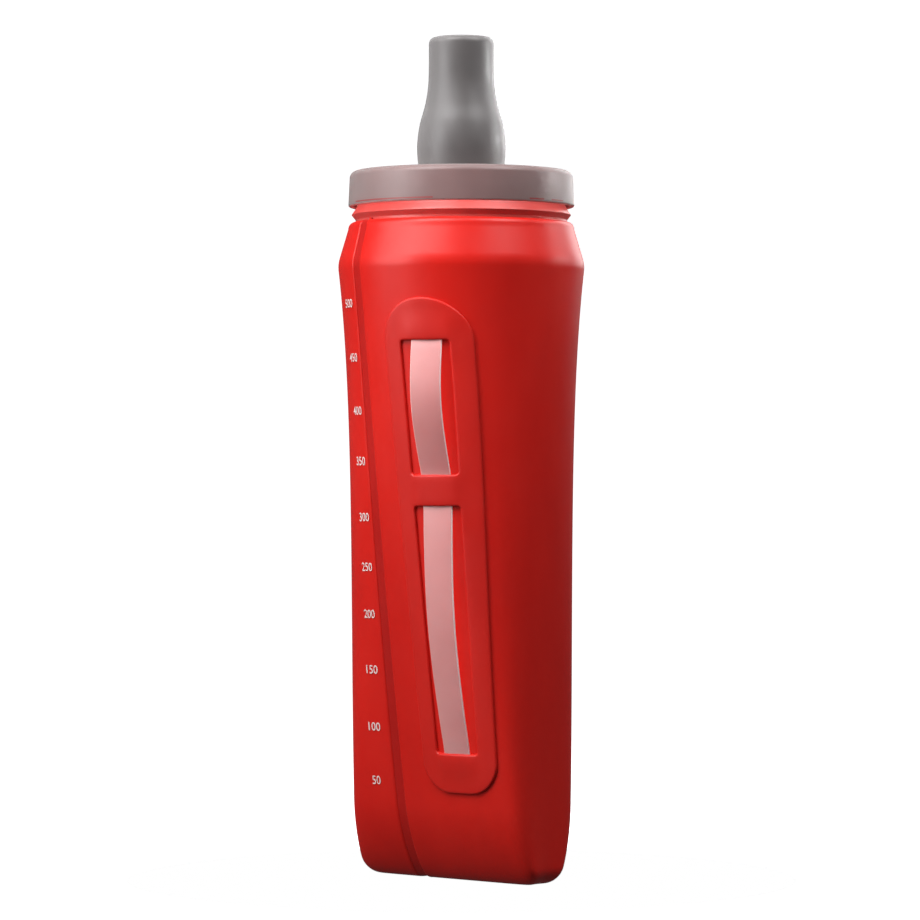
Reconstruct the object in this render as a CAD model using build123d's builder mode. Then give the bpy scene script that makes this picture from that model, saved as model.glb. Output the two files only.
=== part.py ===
from build123d import *
import math
import os

# Soft squeeze flask for drinking on the run, 500 ml, with a strap for the hand.
# Millimetres. +Z is up and the origin is the middle of the base.
# The grip face looks towards -Y, and the volume scale stands at its -X side.

# Flask body: round at the crease, flatter and squarer towards the base
CREASE_Z = 183.0
CREASE_RADIUS = 36.9
BASE_HALF_WIDTH = 33.7
WIDTH_GROWTH = 6.7
BASE_HALF_DEPTH = 11.3
DEPTH_GROWTH = 0.88
ROUND = 0.5523
SQUARENESS = 0.64
SQUARENESS_FADE = 1.8
KEEL_HEIGHT = 23.0
KEEL_FLAT = 4.0
END_ROUNDING = 5.0
WALL = 1.2
FLOOR = 1.4
FACE_REACH = 2 * CREASE_RADIUS
KEEL_SECTIONS = 9
SIDE_SECTIONS = 6

# Shoulder above the crease
LIP_RADIUS = 33.8
LIP_Z = 193.4
SHOULDER_TOP = 195.5
SHOULDER_RINGS = [
    (CREASE_RADIUS, CREASE_Z),
    (LIP_RADIUS, LIP_Z),
    (LIP_RADIUS - 0.5, LIP_Z + 1.1),
    (LIP_RADIUS - 1.4, SHOULDER_TOP),
]

# Weld band between the two shells
WELD_LEFT = -12.2
WELD_RIGHT = -8.9
WELD_RECESS = 0.35

# Neck ring with its bead and thread
NECK_BORE = 28.6
NECK_RADIUS = 31.6
NECK_GAP = 0.05
NECK_SEAT_Z = 194.4
NECK_FLANGE_Z = 184.5
NECK_FLANGE_HEIGHT = 6.0
NECK_FLANGE_FLAT = 1.0
BEAD_RADIUS = 32.8
BEAD_Z = 197.8
BEAD_BELOW = 1.4
BEAD_ABOVE = 2.6
THREAD_ROOT = 31.0
NECK_TOP = 207.8
THREAD_PITCH = 4.0
THREAD_DEPTH = 1.0
THREAD_TURNS = 1.25
THREAD_START_Z = 201.8
THREAD_BASE = 1.5
THREAD_CREST = 0.6
THREAD_SINK = 0.2

# Grip panel, its two windows and the strap behind it
PANEL_BOTTOM = 26.3
PANEL_TOP = 172.0
PANEL_X_BOTTOM = (0.9, 27.7)
PANEL_X_TOP = (0.3, 25.5)
PANEL_THICKNESS = 1.3
PANEL_TOP_CORNER = 12.4
PANEL_BOTTOM_CORNER = 9.5
WINDOW_SIDE = 5.7
WINDOW_CORNER = 1.0
WINDOWS = [(38.0, 111.2), (120.4, 159.6)]
TUNNEL_THICKNESS = 2.3
TUNNEL_WIDTH = 11.8
TUNNEL_CORNER = 1.5
TUNNELS = [(31.0, 38.5), (110.5, 121.0), (159.0, 166.5)]
STRAP_X = 14.0
STRAP_WIDTH = 9.4
STRAP_THICKNESS = 1.0
STRAP_GAP = 0.2
STRAP_BOTTOM = 32.5
STRAP_TOP = 165.0
STRAP_BOWS = [2.5, 3.9]
BOW_SECTIONS = 8

# Screw cap, gasket and spout
CAP_BOTTOM = 200.2
CAP_TOP = 210.9
CAP_PLATE = 2.0
CAP_RADIUS_BOTTOM = 33.8
CAP_RADIUS_TOP = 33.3
CAP_BORE = 32.4
CAP_TOP_ROUNDING = 2.0
CAP_BOTTOM_ROUNDING = 0.5
GASKET_INNER = 28.8
GASKET_OUTER = 31.8
GASKET_THICKNESS = 0.95
GASKET_GAP = 0.05
STEM_RADIUS = 7.0
STEM_BORE = 4.2
STEM_FLANGE_RADIUS = 11.0
STEM_FLANGE = 2.0
STEM_TOP = 228.0
STEM_CHAMFER = 0.8

# Bite valve
VALVE_BOTTOM = 210.95
VALVE_TOP = 251.0
VALVE_FIT = 0.08
VALVE_CHAMBER_RADIUS = 6.3
VALVE_CHAMBER_BOTTOM = 228.4
VALVE_MEMBRANE = 2.0
VALVE_TIP_RADIUS = 9.75
VALVE_TIP_ROUNDING = 2.0
VALVE_SIDE = [
    (12.75, VALVE_BOTTOM),
    (13.25, 218.4),
    (12.45, 225.0),
    (10.85, 230.8),
    (9.95, 236.6),
    (VALVE_TIP_RADIUS, VALVE_TOP - VALVE_TIP_ROUNDING),
]
VALVE_SIDE_TANGENTS = [(0.1, 1), (0, 1)]
SLIT_LENGTH = 9.0
SLIT_WIDTH = 0.3

os.makedirs("parts", exist_ok=True)

keel_levels = [
    KEEL_HEIGHT * (1 - math.cos(math.radians(90 * step / KEEL_SECTIONS)))
    for step in range(KEEL_SECTIONS + 1)
]
side_levels = [
    KEEL_HEIGHT + (CREASE_Z - KEEL_HEIGHT) * step / SIDE_SECTIONS
    for step in range(SIDE_SECTIONS + 1)
]


def rounded_share(z, height):
    """Share of its full size that a shape with a rounded foot of this height has at z."""
    below = max(0.0, 1 - z / height)
    return math.sqrt(1 - below**2)


def section_size(z):
    """Half width, half depth and squareness of the body at height z."""
    share = z / CREASE_Z
    width = BASE_HALF_WIDTH + (CREASE_RADIUS - BASE_HALF_WIDTH) * share**WIDTH_GROWTH
    width -= END_ROUNDING * (1 - rounded_share(z, END_ROUNDING))
    depth = BASE_HALF_DEPTH + (CREASE_RADIUS - BASE_HALF_DEPTH) * share**DEPTH_GROWTH
    depth = KEEL_FLAT + (depth - KEEL_FLAT) * rounded_share(z, KEEL_HEIGHT)
    return width, depth, ROUND + SQUARENESS * (1 - share) ** SQUARENESS_FADE


def closed_section(width, depth, squareness):
    """Four curves round one section, each from the end of one half axis to the next."""
    for x, y in [(width, depth), (-width, depth), (-width, -depth), (width, -depth)]:
        Bezier((x, 0), (x, squareness * y), (squareness * x, y), (0, y))


def body_skin(levels, outward, floor=0.0, ruled=False):
    """Solid within the body's skin between the first and the last level."""
    with BuildPart() as skin:
        for level in levels:
            width, depth, squareness = section_size(level)
            with BuildSketch(Plane.XY.offset(floor + level * (CREASE_Z - floor) / CREASE_Z)):
                with BuildLine():
                    closed_section(width + outward, depth + outward, squareness)
                make_face()
        loft(ruled=ruled)
    return skin.part


def shoulder(rings):
    """Solid within the round shoulder, given as pairs of radius and height."""
    with BuildPart() as cone:
        for radius, height in rings:
            with BuildSketch(Plane.XY.offset(height)):
                with BuildLine():
                    closed_section(radius, radius, ROUND)
                make_face()
        loft(ruled=True)
    return cone.part


def body_solid(outward):
    """Whole outside of the body, moved outward by a distance."""
    with BuildPart() as outside:
        add(body_skin(keel_levels, outward, ruled=True))
        add(body_skin(side_levels, outward))
        add(shoulder([(radius + outward, height) for radius, height in SHOULDER_RINGS]))
    return outside.part


def thread_ridge(foot, crest):
    """One helical ridge that stands from its foot radius to its crest radius."""
    with BuildPart() as ridge:
        with BuildLine() as path:
            Helix(THREAD_PITCH, THREAD_PITCH * THREAD_TURNS, foot, center=(0, 0, THREAD_START_Z))
        with BuildSketch(Plane(origin=path.line @ 0, x_dir=(1, 0, 0), z_dir=path.line % 0)):
            rise = crest - foot
            Polygon(
                (0, -THREAD_BASE / 2),
                (rise, -THREAD_CREST / 2),
                (rise, THREAD_CREST / 2),
                (0, THREAD_BASE / 2),
                align=None,
            )
        sweep(is_frenet=True)
    return ridge.part


body_outside = body_solid(0)
side_outside = body_skin(side_levels, 0)

# The hollow inside both shells, with the neck's seat in it
hollow_rings = [
    (CREASE_RADIUS - WALL, CREASE_Z),
    (LIP_RADIUS - WALL, LIP_Z),
    (NECK_RADIUS + NECK_GAP, NECK_SEAT_Z),
    (NECK_RADIUS + NECK_GAP, SHOULDER_TOP + 1),
]
with BuildPart() as hollow:
    add(body_skin(keel_levels, -WALL, FLOOR, ruled=True))
    add(body_skin(side_levels, -WALL, FLOOR))
    add(shoulder(hollow_rings))

# Larger shell, with the grip face
with BuildPart() as grip_shell:
    add(body_outside)
    add(hollow.part, mode=Mode.SUBTRACT)
    split(bisect_by=Plane.YZ.offset(WELD_RIGHT), keep=Keep.TOP)
grip_shell.part.label = "grip_shell"
export_step(grip_shell.part, "parts/grip_shell.step")

# Smaller shell, which carries the volume scale
with BuildPart() as scale_shell:
    add(body_outside)
    add(hollow.part, mode=Mode.SUBTRACT)
    split(bisect_by=Plane.YZ.offset(WELD_LEFT), keep=Keep.BOTTOM)
scale_shell.part.label = "scale_shell"
export_step(scale_shell.part, "parts/scale_shell.step")

# Recessed weld band: up the front, under the base and up the back
with BuildPart() as weld_seam:
    add(body_solid(-WELD_RECESS))
    add(hollow.part, mode=Mode.SUBTRACT)
    split(bisect_by=Plane.YZ.offset(WELD_LEFT), keep=Keep.TOP)
    split(bisect_by=Plane.YZ.offset(WELD_RIGHT), keep=Keep.BOTTOM)
weld_seam.part.label = "weld_seam"
export_step(weld_seam.part, "parts/weld_seam.step")

# Neck ring: a flange under the shoulder, the V bead and the thread
with BuildPart() as threaded_neck:
    with BuildSketch(Plane.XZ):
        with BuildLine():
            cone_share = (NECK_FLANGE_Z - CREASE_Z) / (LIP_Z - CREASE_Z)
            cone_drop = (CREASE_RADIUS - LIP_RADIUS) * cone_share
            flange_radius = CREASE_RADIUS - WALL - NECK_GAP - cone_drop
            Polyline(
                (NECK_BORE, NECK_FLANGE_Z + NECK_FLANGE_HEIGHT),
                (flange_radius - NECK_FLANGE_FLAT, NECK_FLANGE_Z),
                (flange_radius, NECK_FLANGE_Z),
                (LIP_RADIUS - WALL - NECK_GAP, LIP_Z),
                (NECK_RADIUS, NECK_SEAT_Z),
                (NECK_RADIUS, BEAD_Z - BEAD_BELOW),
                (BEAD_RADIUS, BEAD_Z),
                (THREAD_ROOT, BEAD_Z + BEAD_ABOVE),
                (THREAD_ROOT, NECK_TOP),
                (NECK_BORE, NECK_TOP),
                close=True,
            )
        make_face()
    revolve(axis=Axis.Z)
    add(thread_ridge(THREAD_ROOT - THREAD_SINK, THREAD_ROOT + THREAD_DEPTH))
threaded_neck.part.label = "threaded_neck"
export_step(threaded_neck.part, "parts/threaded_neck.step")


def surface_point(x, z):
    """Place on the grip face at x and z, and the turn of its outward normal from -Y."""
    width, depth, squareness = section_size(z)
    low, high = 0.0, 1.0
    for _ in range(40):
        t = (low + high) / 2
        reach = width * (3 * squareness * t * (1 - t) ** 2 + 3 * t * t * (1 - t) + t**3)
        low, high = (t, high) if reach < x else (low, t)
    y = depth * ((1 - t) ** 3 + 3 * t * (1 - t) ** 2 + 3 * squareness * t * t * (1 - t))
    bend = 2 * (1 - squareness) * t * (1 - t)
    fall = depth * (bend + squareness * t * t)
    run = width * (bend + squareness * (1 - t) ** 2)
    return -y, math.atan(fall / run)


def strap_section(z, bow):
    """Plane across the strap at height z, where it stands off the body by the bow."""
    y, turn = surface_point(STRAP_X, z)
    away = bow + STRAP_GAP + STRAP_THICKNESS / 2
    origin = (STRAP_X + away * math.sin(turn), y - away * math.cos(turn), z)
    return Plane(origin=origin, x_dir=(math.cos(turn), math.sin(turn), 0), z_dir=(0, 0, 1))


strap_planes = [strap_section(STRAP_BOTTOM, 0)]
for (bottom, top), bow in zip(WINDOWS, STRAP_BOWS):
    for step in range(BOW_SECTIONS + 1):
        share = step / BOW_SECTIONS
        height = bottom + (top - bottom) * share
        strap_planes.append(strap_section(height, bow * math.sin(math.pi * share) ** 2))
strap_planes.append(strap_section(STRAP_TOP, 0))

# Strap: a flat band that lies on the body under the panel and bows out in the windows
with BuildPart() as grip_strap:
    for plane in strap_planes:
        with BuildSketch(plane):
            Rectangle(STRAP_WIDTH, STRAP_THICKNESS)
    loft()
grip_strap.part.label = "grip_strap"
export_step(grip_strap.part, "parts/grip_strap.step")


def panel_corners(bottom, top, inset):
    """Corners between two heights, this far inside the panel's leaning sides."""
    corners = []
    for z in (bottom, top):
        share = (z - PANEL_BOTTOM) / (PANEL_TOP - PANEL_BOTTOM)
        left = PANEL_X_BOTTOM[0] + (PANEL_X_TOP[0] - PANEL_X_BOTTOM[0]) * share
        right = PANEL_X_BOTTOM[1] + (PANEL_X_TOP[1] - PANEL_X_BOTTOM[1]) * share
        corners += [(left + inset, z), (right - inset, z)]
    low_left, low_right, high_left, high_right = corners
    return [low_left, low_right, high_right, high_left]


# Raised patches of the panel, where the strap runs in a tunnel under it
with BuildPart() as tunnels:
    add(body_skin(side_levels, TUNNEL_THICKNESS))
    with BuildSketch(Plane.XZ):
        for bottom, top in TUNNELS:
            with Locations((STRAP_X, (bottom + top) / 2)):
                RectangleRounded(TUNNEL_WIDTH, top - bottom, TUNNEL_CORNER)
    extrude(amount=FACE_REACH, mode=Mode.INTERSECT)

# Grip panel with its two windows
with BuildPart() as grip_panel:
    add(body_skin(side_levels, PANEL_THICKNESS))
    with BuildSketch(Plane.XZ):
        Polygon(panel_corners(PANEL_BOTTOM, PANEL_TOP, 0), align=None)
        fillet(vertices().group_by(Axis.Y)[-1], PANEL_TOP_CORNER)
        fillet(vertices().group_by(Axis.Y)[0], PANEL_BOTTOM_CORNER)
    extrude(amount=FACE_REACH, mode=Mode.INTERSECT)
    add(tunnels.part)
    with BuildSketch(Plane.XZ):
        for bottom, top in WINDOWS:
            Polygon(panel_corners(bottom, top, WINDOW_SIDE), align=None)
        fillet(vertices(), WINDOW_CORNER)
    extrude(amount=FACE_REACH, mode=Mode.SUBTRACT)
    add(side_outside, mode=Mode.SUBTRACT)
    add(grip_strap.part, mode=Mode.SUBTRACT)
grip_panel.part.label = "grip_panel"
export_step(grip_panel.part, "parts/grip_panel.step")

# Screw cap: skirt, top plate with the hole for the stem, and the inner thread
cap_ridge = Rotation(0, 0, 180) * thread_ridge(CAP_BORE + THREAD_SINK, CAP_BORE - THREAD_DEPTH)
with BuildPart() as screw_cap:
    with BuildSketch(Plane.XZ):
        with BuildLine():
            Polyline(
                (STEM_RADIUS, CAP_TOP),
                (CAP_RADIUS_TOP, CAP_TOP),
                (CAP_RADIUS_BOTTOM, CAP_BOTTOM),
                (CAP_BORE, CAP_BOTTOM),
                (CAP_BORE, CAP_TOP - CAP_PLATE),
                (STEM_RADIUS, CAP_TOP - CAP_PLATE),
                close=True,
            )
        make_face()
        fillet(vertices().group_by(Axis.Y)[-1].sort_by(Axis.X)[-1], CAP_TOP_ROUNDING)
        fillet(vertices().group_by(Axis.Y)[0], CAP_BOTTOM_ROUNDING)
    revolve(axis=Axis.Z)
    add(cap_ridge)
screw_cap.part.label = "screw_cap"
export_step(screw_cap.part, "parts/screw_cap.step")

# Flat gasket between the neck's rim and the cap's plate
with BuildPart() as cap_gasket:
    with BuildSketch(Plane.XY.offset(CAP_TOP - CAP_PLATE - GASKET_GAP - GASKET_THICKNESS)):
        Circle(GASKET_OUTER)
        Circle(GASKET_INNER, mode=Mode.SUBTRACT)
    extrude(amount=GASKET_THICKNESS)
cap_gasket.part.label = "cap_gasket"
export_step(cap_gasket.part, "parts/cap_gasket.step")

# Spout stem: a flanged tube through the cap, which the bite valve sits on
with BuildPart() as spout_stem:
    with BuildSketch(Plane.XY.offset(CAP_TOP - CAP_PLATE - STEM_FLANGE)):
        Circle(STEM_FLANGE_RADIUS)
    extrude(amount=STEM_FLANGE)
    with BuildSketch(Plane.XY.offset(CAP_TOP - CAP_PLATE)):
        Circle(STEM_RADIUS)
    extrude(amount=STEM_TOP - CAP_TOP + CAP_PLATE)
    chamfer(edges().group_by(Axis.Z)[-1], STEM_CHAMFER)
    with Locations((0, 0, STEM_TOP)):
        Hole(STEM_BORE)
spout_stem.part.label = "spout_stem"
export_step(spout_stem.part, "parts/spout_stem.step")

# Bite valve: a soft sleeve over the stem, with a slit membrane at the tip
with BuildPart() as bite_valve:
    with BuildSketch(Plane.XZ):
        with BuildLine():
            side = Spline(VALVE_SIDE, tangents=VALVE_SIDE_TANGENTS)
            RadiusArc(side @ 1, (VALVE_TIP_RADIUS - VALVE_TIP_ROUNDING, VALVE_TOP), -VALVE_TIP_ROUNDING)
            Polyline(
                (VALVE_TIP_RADIUS - VALVE_TIP_ROUNDING, VALVE_TOP),
                (0, VALVE_TOP),
                (0, VALVE_TOP - VALVE_MEMBRANE),
                (VALVE_CHAMBER_RADIUS, VALVE_TOP - VALVE_MEMBRANE),
                (VALVE_CHAMBER_RADIUS, VALVE_CHAMBER_BOTTOM),
                (STEM_RADIUS + VALVE_FIT, VALVE_CHAMBER_BOTTOM),
                (STEM_RADIUS + VALVE_FIT, VALVE_BOTTOM),
                side @ 0,
            )
        make_face()
    revolve(axis=Axis.Z)
    with BuildSketch(Plane.XY.offset(VALVE_TOP)):
        Rectangle(SLIT_LENGTH, SLIT_WIDTH)
        Rectangle(SLIT_WIDTH, SLIT_LENGTH)
    extrude(amount=-VALVE_MEMBRANE, mode=Mode.SUBTRACT)
bite_valve.part.label = "bite_valve"
export_step(bite_valve.part, "parts/bite_valve.step")
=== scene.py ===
import math

import bmesh
import bpy
import numpy as np
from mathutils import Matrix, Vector
from mathutils.geometry import delaunay_2d_cdt


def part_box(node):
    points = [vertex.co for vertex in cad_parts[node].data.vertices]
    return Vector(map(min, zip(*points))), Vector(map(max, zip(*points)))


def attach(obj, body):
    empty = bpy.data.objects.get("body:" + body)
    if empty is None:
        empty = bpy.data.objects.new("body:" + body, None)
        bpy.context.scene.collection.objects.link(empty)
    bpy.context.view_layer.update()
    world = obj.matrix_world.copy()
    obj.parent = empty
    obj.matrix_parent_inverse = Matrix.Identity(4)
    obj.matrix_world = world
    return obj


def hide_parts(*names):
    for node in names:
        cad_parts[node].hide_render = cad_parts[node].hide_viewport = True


# A soft red squeeze flask with a grip panel, a frosted strap, a screw cap and a bite valve.
# Shapes are worked out in millimetres in the CAD frame and scaled to metres when a mesh is made.

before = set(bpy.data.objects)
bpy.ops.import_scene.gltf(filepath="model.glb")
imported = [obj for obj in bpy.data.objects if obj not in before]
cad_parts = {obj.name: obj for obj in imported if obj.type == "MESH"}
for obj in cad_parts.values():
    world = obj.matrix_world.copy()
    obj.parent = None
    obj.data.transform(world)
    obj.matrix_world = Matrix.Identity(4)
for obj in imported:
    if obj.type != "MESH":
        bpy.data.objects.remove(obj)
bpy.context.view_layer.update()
MM = 0.001
MERGE_DISTANCE = 2e-6


def box_mm(node):
    """Lowest and highest corner of a CAD node, in millimetres."""
    low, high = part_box(node)
    return low / MM, high / MM


SHELL_HIGH = box_mm("grip_shell")[1]
WELD_LOW, WELD_HIGH = box_mm("weld_seam")
PANEL_LOW, PANEL_HIGH = box_mm("grip_panel")
STRAP_LOW, STRAP_HIGH = box_mm("grip_strap")
CAP_LOW, CAP_HIGH = box_mm("screw_cap")
VALVE_LOW, VALVE_HIGH = box_mm("bite_valve")
NECK_LOW, NECK_HIGH = box_mm("threaded_neck")

# Flask body, with the driving dimensions of the CAD part
CREASE_Z = 183.0
CREASE_RADIUS = SHELL_HIGH.y
BASE_HALF_WIDTH = 33.7
WIDTH_GROWTH = 6.7
BASE_HALF_DEPTH = 11.3
DEPTH_GROWTH = 0.88
ROUND = 0.5523
SQUARENESS = 0.64
SQUARENESS_FADE = 1.8
KEEL_HEIGHT = 23.0
KEEL_FLAT = 4.0
END_ROUNDING = 5.0
LIP_RADIUS = 33.8
LIP_Z = 193.4
LIP_ROUNDING = 1.7
LIP_TUCK = [(0.15, SHELL_HIGH.z), (0.05, LIP_Z + 1)]
CREASE_BLEND = 0.8
CREASE_ZONE = 5.0
SHOULDER_SLOPE = (CREASE_RADIUS - LIP_RADIUS) / (LIP_Z - CREASE_Z)
NECK_RADIUS = 31.6
WALL = 1.0
WELD_RECESS = 0.35
WELD_OVERLAP = 0.25

# Neck ring
NECK_BORE = 28.6
NECK_FLANGE_HEIGHT = 6.0
NECK_FLANGE = (34.3, 35.2)
NECK_FLANGE_TOP = 32.5
BEAD_RADIUS = 32.8
BEAD_Z = 197.8
BEAD_TOP_RADIUS = 31.5

# Grip panel, windows, strap tunnels and strap
PANEL_THICKNESS = 0.85
PANEL_LIFT = 0.5
PANEL_X_BOTTOM = (0.9, 27.7)
PANEL_X_TOP = (0.3, 25.5)
PANEL_TOP_CORNER = 12.4
PANEL_BOTTOM_CORNER = 9.5
WINDOW_SIDE = 5.7
WINDOW_CORNER = 1.0
WINDOWS = [(38.6, 111.2), (120.4, 159.6)]
TUNNEL_RISE = 0.42
TUNNEL_FLAT = 2.0
TUNNEL_REACH = 8.0
TUNNEL_SIDE = 4.0
STRAP_X = 14.0
STRAP_WIDTH = 9.4
STRAP_THICKNESS = 0.8
STRAP_GAP = 0.05
STRAP_CROWN = 0.013
STRAP_BOWS = [2.45, 3.85]
BOW_LEAN = 1.15
BOW_ENDS = 1.1
STRAP_CORNER = 0.28
# Width of the painted highlight along each cut edge of the strap
CUT_EDGE_HIGHLIGHT_WIDTH = 0.12

# Printed scale
MARK_HEIGHTS = [29.2, 45.3, 62.4, 79.0, 93.0, 107.8, 124.4, 139.3, 155.0, 171.0]
MARK_STEP = 50
MARK_X = -15.9
MARK_X_Z = 124.0
MARK_CURVE = 0.00039
DIGIT_HEIGHT = 2.55
DIGIT_ADVANCE = 1.60
DIGIT_WEIGHT = 0.004
LABEL_MARGIN = 0.2
INK_LIFT = 0.09
INK_THICKNESS = 0.05

# Screw cap
CAP_PLATE = 2.0
CAP_HOLE = 7.0
CAP_DRAFT = 0.5
CAP_TOP_ROUNDING = 2.1
CAP_BOTTOM_ROUNDING = 0.55
CAP_BORE = 32.4

# Painted on the cap: painted shade of the red thread seen through it, and a painted highlight on the lip
# under that.
# Heights are in metres and arcs in degrees round the axis.
THREAD_SHADE_BAND = (0.2009, 0.2013)
THREAD_SHADE_ARCS = [(-117, -64), (-14, -4), (2, 14)]
LIP_HIGHLIGHT_BAND = (0.2000, 0.2005)

# Bite valve: its side from the foot up, its bore over the stem and the slit disc at its tip
VALVE_TIP_RADIUS = 9.75
VALVE_TIP_ROUNDING = 2.0
VALVE_SIDE = [
    (12.75, VALVE_LOW.z), (13.25, 218.4), (12.45, 225.0), (10.85, 230.8), (9.95, 236.6),
    (VALVE_TIP_RADIUS, 242.5), (VALVE_TIP_RADIUS, VALVE_HIGH.z - VALVE_TIP_ROUNDING),
]
VALVE_BORE = 7.08
CHAMBER_RADIUS = 6.3
CHAMBER_BOTTOM = 228.4
DISC_THICKNESS = 2.0
DISC_RADIUS = 0.86 * (VALVE_TIP_RADIUS - VALVE_TIP_ROUNDING)
DISC_DIP = 0.25
DISC_DIP_RADIUS = 3.0
SLIT_HALF_LENGTH = 4.4
SLIT_HALF_WIDTH = 0.12

# Thread between the neck and the cap
THREAD_PITCH = 4.0
THREAD_TURNS = 1.25
THREAD_START_Z = 201.8
THREAD_ROOT = 31.0
THREAD_CREST = 32.0
THREAD_DEPTH_IN_CAP = 1.0
THREAD_SINK = 0.1
THREAD_TAPER = 0.08


# Meshes

def make_object(name, points, faces, material):
    """A smooth-shaded mesh object from points in millimetres."""
    mesh = bpy.data.meshes.new(name)
    mesh.from_pydata([tuple(c * MM for c in p) for p in points], [], [list(f) for f in faces])
    bm = bmesh.new()
    bm.from_mesh(mesh)
    bmesh.ops.remove_doubles(bm, verts=bm.verts, dist=MERGE_DISTANCE)
    bmesh.ops.recalc_face_normals(bm, faces=bm.faces)
    bm.to_mesh(mesh)
    bm.free()
    mesh.materials.append(material)
    piece = bpy.data.objects.new(name, mesh)
    bpy.context.scene.collection.objects.link(piece)
    mesh.shade_smooth()
    return piece


def smooth_by_angle(piece, degrees):
    """Keeps edges sharper than this angle crisp."""
    piece.data.set_sharp_from_angle(angle=math.radians(degrees))


def grid_faces(rows, columns, start=0, closed=False):
    """Quads of a grid of points stored row by row; closed joins the last column to the first."""
    faces = []
    for row in range(rows - 1):
        for column in range(columns if closed else columns - 1):
            right = (column + 1) % columns
            low = start + row * columns
            high = low + columns
            faces.append((low + column, low + right, high + right, high + column))
    return faces


def lathe(profile, segments=144, closed=True):
    """Points and faces of an outline of (radius, height) turned about Z; closed joins its ends."""
    points = []
    for step in range(segments):
        angle = 2 * math.pi * step / segments
        points += [(r * math.cos(angle), r * math.sin(angle), z) for r, z in profile]
    faces = []
    count = len(profile)
    for step in range(segments):
        here = step * count
        there = (step + 1) % segments * count
        for k in range(count if closed else count - 1):
            after = (k + 1) % count
            faces.append((here + k, there + k, there + after, here + after))
    return points, faces


def rounded_outline(corners, steps=6):
    """Closed outline from corners (radius, height, rounding), each rounded by an arc-like curve."""
    outline = []
    count = len(corners)
    for k in range(count):
        corner = Vector(corners[k][:2])
        before = Vector(corners[k - 1][:2]) - corner
        after = Vector(corners[(k + 1) % count][:2]) - corner
        rounding = corners[k][2]
        if rounding == 0:
            outline.append(tuple(corner))
            continue
        opening = before.angle(after)
        reach = min(rounding / math.tan(opening / 2), before.length / 2, after.length / 2)
        first = corner + before.normalized() * reach
        last = corner + after.normalized() * reach
        weight = math.sin(opening / 2)
        for step in range(steps + 1):
            t = step / steps
            share = 2 * t * (1 - t) * weight
            total = (1 - t) ** 2 + share + t**2
            place = (first * (1 - t) ** 2 + corner * share + last * t**2) / total
            outline.append(tuple(place))
    return outline


def joined(*parts):
    """Several (points, faces) pairs as one."""
    points, faces = [], []
    for more_points, more_faces in parts:
        start = len(points)
        points += list(more_points)
        faces += [tuple(start + index for index in face) for face in more_faces]
    return points, faces


def thread_ridge(foot, crest, turned):
    """One helical ridge with tapered ends, from the foot radius to the crest radius."""
    steps = 180
    section_shape = [(0, -0.75), (0.75, -0.42), (1, -0.25), (1, 0.25), (0.75, 0.42), (0, 0.75)]
    points = []
    for step in range(steps + 1):
        share = step / steps
        angle = turned + 2 * math.pi * THREAD_TURNS * share
        height = THREAD_START_Z + THREAD_PITCH * THREAD_TURNS * share
        taper = min(1.0, share / THREAD_TAPER, (1 - share) / THREAD_TAPER)
        rise = (crest - foot) * (0.2 + 0.8 * taper)
        for out, z in section_shape:
            radius = foot + out * rise
            points.append((radius * math.cos(angle), radius * math.sin(angle), height + z))
    count = len(section_shape)
    faces = grid_faces(steps + 1, count, closed=True)
    faces += [tuple(range(count)), tuple(steps * count + k for k in reversed(range(count)))]
    return points, faces


# The body's skin

def rounded_share(z, height):
    """Share of its full size that a shape with a rounded foot of this height has at z."""
    below = np.clip(1 - z / height, 0, 1)
    return np.sqrt(1 - below**2)


def soft_min(a, b):
    """The smaller of two values, with the change from one to the other rounded."""
    near = np.clip(1 - np.abs(a - b) / CREASE_BLEND, 0, 1)
    return np.minimum(a, b) - near * near * CREASE_BLEND / 4


def section(z):
    """Half width, half depth and squareness of the body at heights z."""
    z = np.asarray(z, float)
    share = z / CREASE_Z
    width = BASE_HALF_WIDTH + (CREASE_RADIUS - BASE_HALF_WIDTH) * share**WIDTH_GROWTH
    width = width - END_ROUNDING * (1 - rounded_share(z, END_ROUNDING))
    depth = BASE_HALF_DEPTH + (CREASE_RADIUS - BASE_HALF_DEPTH) * share**DEPTH_GROWTH
    depth = KEEL_FLAT + (depth - KEEL_FLAT) * rounded_share(z, KEEL_HEIGHT)
    squareness = ROUND + SQUARENESS * np.clip(1 - share, 0, 1) ** SQUARENESS_FADE
    cone = CREASE_RADIUS - SHOULDER_SLOPE * (z - CREASE_Z)
    return soft_min(width, cone), soft_min(depth, cone), squareness


def quarter(t, squareness):
    """Shares of the half width and half depth along a quarter section, from face to end."""
    across = 3 * squareness * t * (1 - t) ** 2 + 3 * t * t * (1 - t) + t**3
    out = (1 - t) ** 3 + 3 * t * (1 - t) ** 2 + 3 * squareness * t * t * (1 - t)
    return across, out


def quarter_at(x, width, squareness):
    """Place along the quarter section where it is this far from the middle."""
    low = np.zeros(np.broadcast(x, width).shape)
    high = np.ones_like(low)
    for _ in range(36):
        middle = (low + high) / 2
        short = width * quarter(middle, squareness)[0] < np.abs(x)
        low = np.where(short, middle, low)
        high = np.where(short, high, middle)
    return (low + high) / 2


def ring_point(width, depth, squareness, turn):
    """Point of a section: turn is 0 at the grip face's middle, 1 at +X, 2 at the back, 3 at -X."""
    whole = np.floor(turn)
    quadrant = whole.astype(int) % 4
    t = turn - whole
    t = np.where(quadrant % 2 == 0, t, 1 - t)
    across, out = quarter(t, squareness)
    x = width * across * np.where(quadrant < 2, 1, -1)
    y = depth * out * np.where((quadrant == 0) | (quadrant == 3), -1, 1)
    return x, y


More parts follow.
